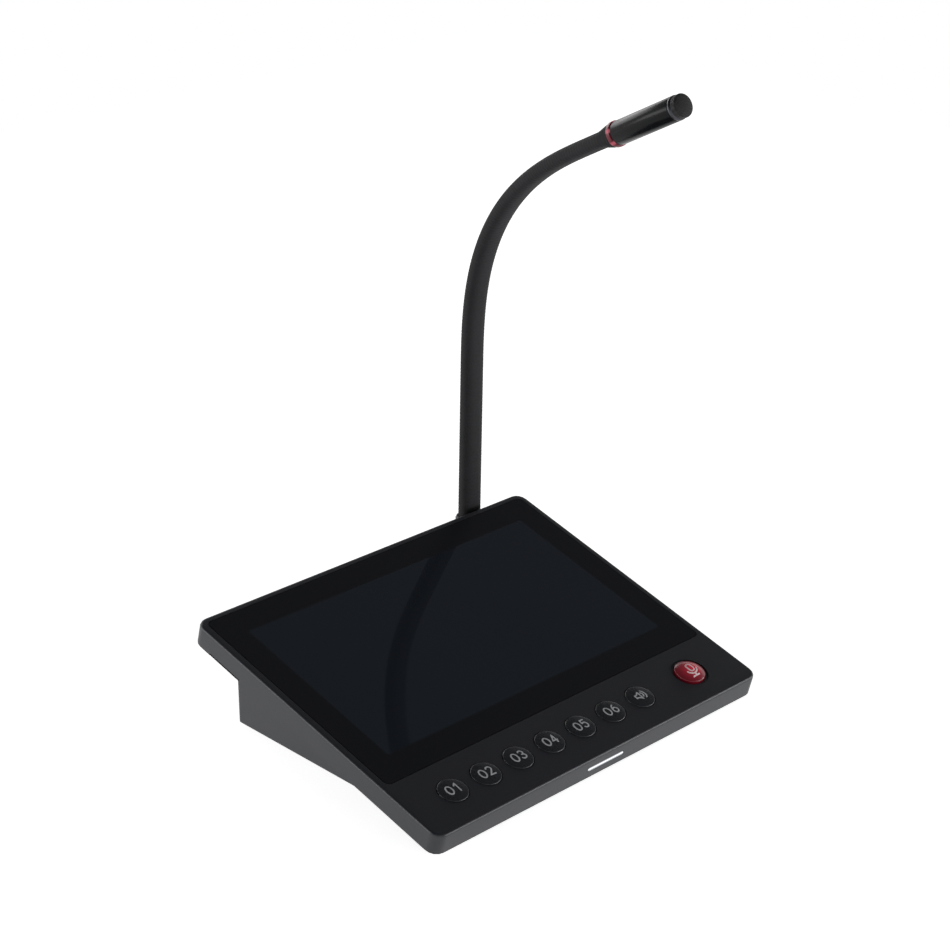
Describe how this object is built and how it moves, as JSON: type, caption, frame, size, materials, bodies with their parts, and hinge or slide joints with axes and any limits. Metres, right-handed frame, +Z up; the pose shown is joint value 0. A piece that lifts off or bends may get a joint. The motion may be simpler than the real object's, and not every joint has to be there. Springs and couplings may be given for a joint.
{
  "type": "paging microphone",
  "caption": "Desktop paging microphone: tilted screen console on a wedge case, a row of push keys with a red talk key, and a bendable gooseneck with a slim microphone.",
  "frame": {"origin": "middle of the base: on the table plane, under the centre of the whole outline", "axes": "+Z up from the table, +X to the right of the person who speaks, +Y away from them"},
  "size_m": [0.1836, 0.1564, 0.2574],
  "materials": {
    "housing": "fine spark-eroded satin texture",
    "glass": "polished, blackened from behind",
    "screen": "smooth display panel, unlit",
    "key": "polished dome",
    "talk_key": "translucent red, polished",
    "rubber": "matte moulded",
    "board": "solder mask on glass fibre laminate",
    "light": "opal, smooth",
    "steel": "zinc plated",
    "socket": "moulded",
    "shell_metal": "nickel plated shell",
    "neck_skin": "matte extruded sleeve with fine cross ribs",
    "neck_metal": "satin black",
    "head": "gloss black",
    "rim": "turned bright bevel",
    "ring": "translucent red",
    "mesh": "blackened woven wire",
    "paper": "pressed paper pulp"
  },
  "bodies": {
    "console": {"upper_housing": "housing", "cover_glass": "glass", "screen_module": "screen", "key_board": "board", "key_mat": "rubber", "light_bar": "light", "screw_left_front": "steel", "screw_right_front": "steel", "screw_left_rear": "steel", "screw_right_rear": "steel", "back_plate": "housing", "wedge_case": "housing", "foot_left_front": "rubber", "foot_left_rear": "rubber", "foot_right_front": "rubber", "foot_right_rear": "rubber", "main_board": "board", "network_socket": "socket", "power_socket": "socket", "data_socket": "shell_metal", "headset_socket": "socket", "speaker_frame": "steel", "speaker_cone": "paper", "neck_ferrule": "neck_metal", "neck_nut": "steel", "neck_foot": "neck_skin"},
    "number_key_1_body": {"number_key_1": "key"},
    "number_key_2_body": {"number_key_2": "key"},
    "number_key_3_body": {"number_key_3": "key"},
    "number_key_4_body": {"number_key_4": "key"},
    "number_key_5_body": {"number_key_5": "key"},
    "number_key_6_body": {"number_key_6": "key"},
    "call_key_body": {"call_key": "key"},
    "talk_key_body": {"talk_key": "talk_key"},
    "neck_link_01_body": {"neck_link_01": "neck_skin"},
    "neck_link_02_body": {"neck_link_02": "neck_skin"},
    "neck_link_03_body": {"neck_link_03": "neck_skin"},
    "neck_link_04_body": {"neck_link_04": "neck_skin"},
    "neck_link_05_body": {"neck_link_05": "neck_skin"},
    "neck_link_06_body": {"neck_link_06": "neck_skin"},
    "neck_link_07_body": {"neck_link_07": "neck_skin"},
    "neck_link_08_body": {"neck_link_08": "neck_skin"},
    "neck_link_09_body": {"neck_link_09": "neck_skin"},
    "neck_link_10_body": {"neck_link_10": "neck_skin"},
    "neck_link_11_body": {"neck_link_11": "neck_skin"},
    "neck_link_12_body": {"neck_link_12": "neck_skin", "signal_ring": "ring", "head_tube": "head", "head_rim": "rim", "head_mesh": "mesh", "capsule": "steel", "capsule_collar": "rubber"}
  },
  "joints": [
    {"name": "number_key_1_press", "type": "slide", "parent": "console", "child": "number_key_1_body", "axis": [0, 0.2588, -0.9659], "range_m": [0, 0.001], "stiffness_N_per_m": 700},
    {"name": "number_key_2_press", "type": "slide", "parent": "console", "child": "number_key_2_body", "axis": [0, 0.2588, -0.9659], "range_m": [0, 0.001], "stiffness_N_per_m": 700},
    {"name": "number_key_3_press", "type": "slide", "parent": "console", "child": "number_key_3_body", "axis": [0, 0.2588, -0.9659], "range_m": [0, 0.001], "stiffness_N_per_m": 700},
    {"name": "number_key_4_press", "type": "slide", "parent": "console", "child": "number_key_4_body", "axis": [0, 0.2588, -0.9659], "range_m": [0, 0.001], "stiffness_N_per_m": 700},
    {"name": "number_key_5_press", "type": "slide", "parent": "console", "child": "number_key_5_body", "axis": [0, 0.2588, -0.9659], "range_m": [0, 0.001], "stiffness_N_per_m": 700},
    {"name": "number_key_6_press", "type": "slide", "parent": "console", "child": "number_key_6_body", "axis": [0, 0.2588, -0.9659], "range_m": [0, 0.001], "stiffness_N_per_m": 700},
    {"name": "call_key_press", "type": "slide", "parent": "console", "child": "call_key_body", "axis": [0, 0.2588, -0.9659], "range_m": [0, 0.001], "stiffness_N_per_m": 700},
    {"name": "talk_key_press", "type": "slide", "parent": "console", "child": "talk_key_body", "axis": [0, 0.2588, -0.9659], "range_m": [0, 0.001], "stiffness_N_per_m": 700},
    {"name": "neck_bend_1", "type": "hinge", "parent": "console", "child": "neck_link_01_body", "pos_m": [0.06799, 0.07034, 0.05467], "axis": [0.9991, -0.0419, 0], "range_deg": [-10, 9]},
    {"name": "neck_sway_1", "type": "hinge", "parent": "neck_link_01_body", "child": "neck_link_02_body", "pos_m": [0.06797, 0.06989, 0.07226], "axis": [0.0419, 0.9988, 0.0253], "range_deg": [-8, 8]},
    {"name": "neck_bend_2", "type": "hinge", "parent": "neck_link_02_body", "child": "neck_link_03_body", "pos_m": [0.06795, 0.06945, 0.08986], "axis": [0.9991, -0.0419, 0], "range_deg": [-10, 9]},
    {"name": "neck_sway_2", "type": "hinge", "parent": "neck_link_03_body", "child": "neck_link_04_body", "pos_m": [0.06793, 0.069, 0.10745], "axis": [0.0419, 0.9988, 0.0253], "range_deg": [-8, 8]},
    {"name": "neck_bend_3", "type": "hinge", "parent": "neck_link_04_body", "child": "neck_link_05_body", "pos_m": [0.06791, 0.06849, 0.12504], "axis": [0.9991, -0.0419, 0], "range_deg": [-10, 9]},
    {"name": "neck_sway_3", "type": "hinge", "parent": "neck_link_05_body", "child": "neck_link_06_body", "pos_m": [0.06785, 0.06702, 0.14258], "axis": [0.0415, 0.9899, 0.1353], "range_deg": [-8, 8]},
    {"name": "neck_bend_4", "type": "hinge", "parent": "neck_link_06_body", "child": "neck_link_07_body", "pos_m": [0.0677, 0.06341, 0.15979], "axis": [0.9991, -0.0419, 0], "range_deg": [-10, 9]},
    {"name": "neck_sway_4", "type": "hinge", "parent": "neck_link_07_body", "child": "neck_link_08_body", "pos_m": [0.06743, 0.05699, 0.17614], "axis": [0.0374, 0.8916, 0.4513], "range_deg": [-8, 8]},
    {"name": "neck_bend_5", "type": "hinge", "parent": "neck_link_08_body", "child": "neck_link_09_body", "pos_m": [0.06703, 0.04758, 0.19098], "axis": [0.9991, -0.0419, 0], "range_deg": [-10, 9]},
    {"name": "neck_sway_5", "type": "hinge", "parent": "neck_link_09_body", "child": "neck_link_10_body", "pos_m": [0.06653, 0.03555, 0.20378], "axis": [0.0278, 0.6642, 0.7471], "range_deg": [-8, 8]},
    {"name": "neck_bend_6", "type": "hinge", "parent": "neck_link_10_body", "child": "neck_link_11_body", "pos_m": [0.06594, 0.02157, 0.21443], "axis": [0.9991, -0.0419, 0], "range_deg": [-10, 9]},
    {"name": "neck_sway_6", "type": "hinge", "parent": "neck_link_11_body", "child": "neck_link_12_body", "pos_m": [0.06531, 0.00642, 0.22335], "axis": [0.0199, 0.474, 0.8803], "range_deg": [-8, 8]}
  ],
  "couplings": [
    {"joint": "neck_bend_2", "follows": "neck_bend_1", "ratio": 1},
    {"joint": "neck_sway_2", "follows": "neck_sway_1", "ratio": 1},
    {"joint": "neck_bend_3", "follows": "neck_bend_1", "ratio": 1},
    {"joint": "neck_sway_3", "follows": "neck_sway_1", "ratio": 1},
    {"joint": "neck_bend_4", "follows": "neck_bend_1", "ratio": 1},
    {"joint": "neck_sway_4", "follows": "neck_sway_1", "ratio": 1},
    {"joint": "neck_bend_5", "follows": "neck_bend_1", "ratio": 1},
    {"joint": "neck_sway_5", "follows": "neck_sway_1", "ratio": 1},
    {"joint": "neck_bend_6", "follows": "neck_bend_1", "ratio": 1},
    {"joint": "neck_sway_6", "follows": "neck_sway_1", "ratio": 1}
  ]
}
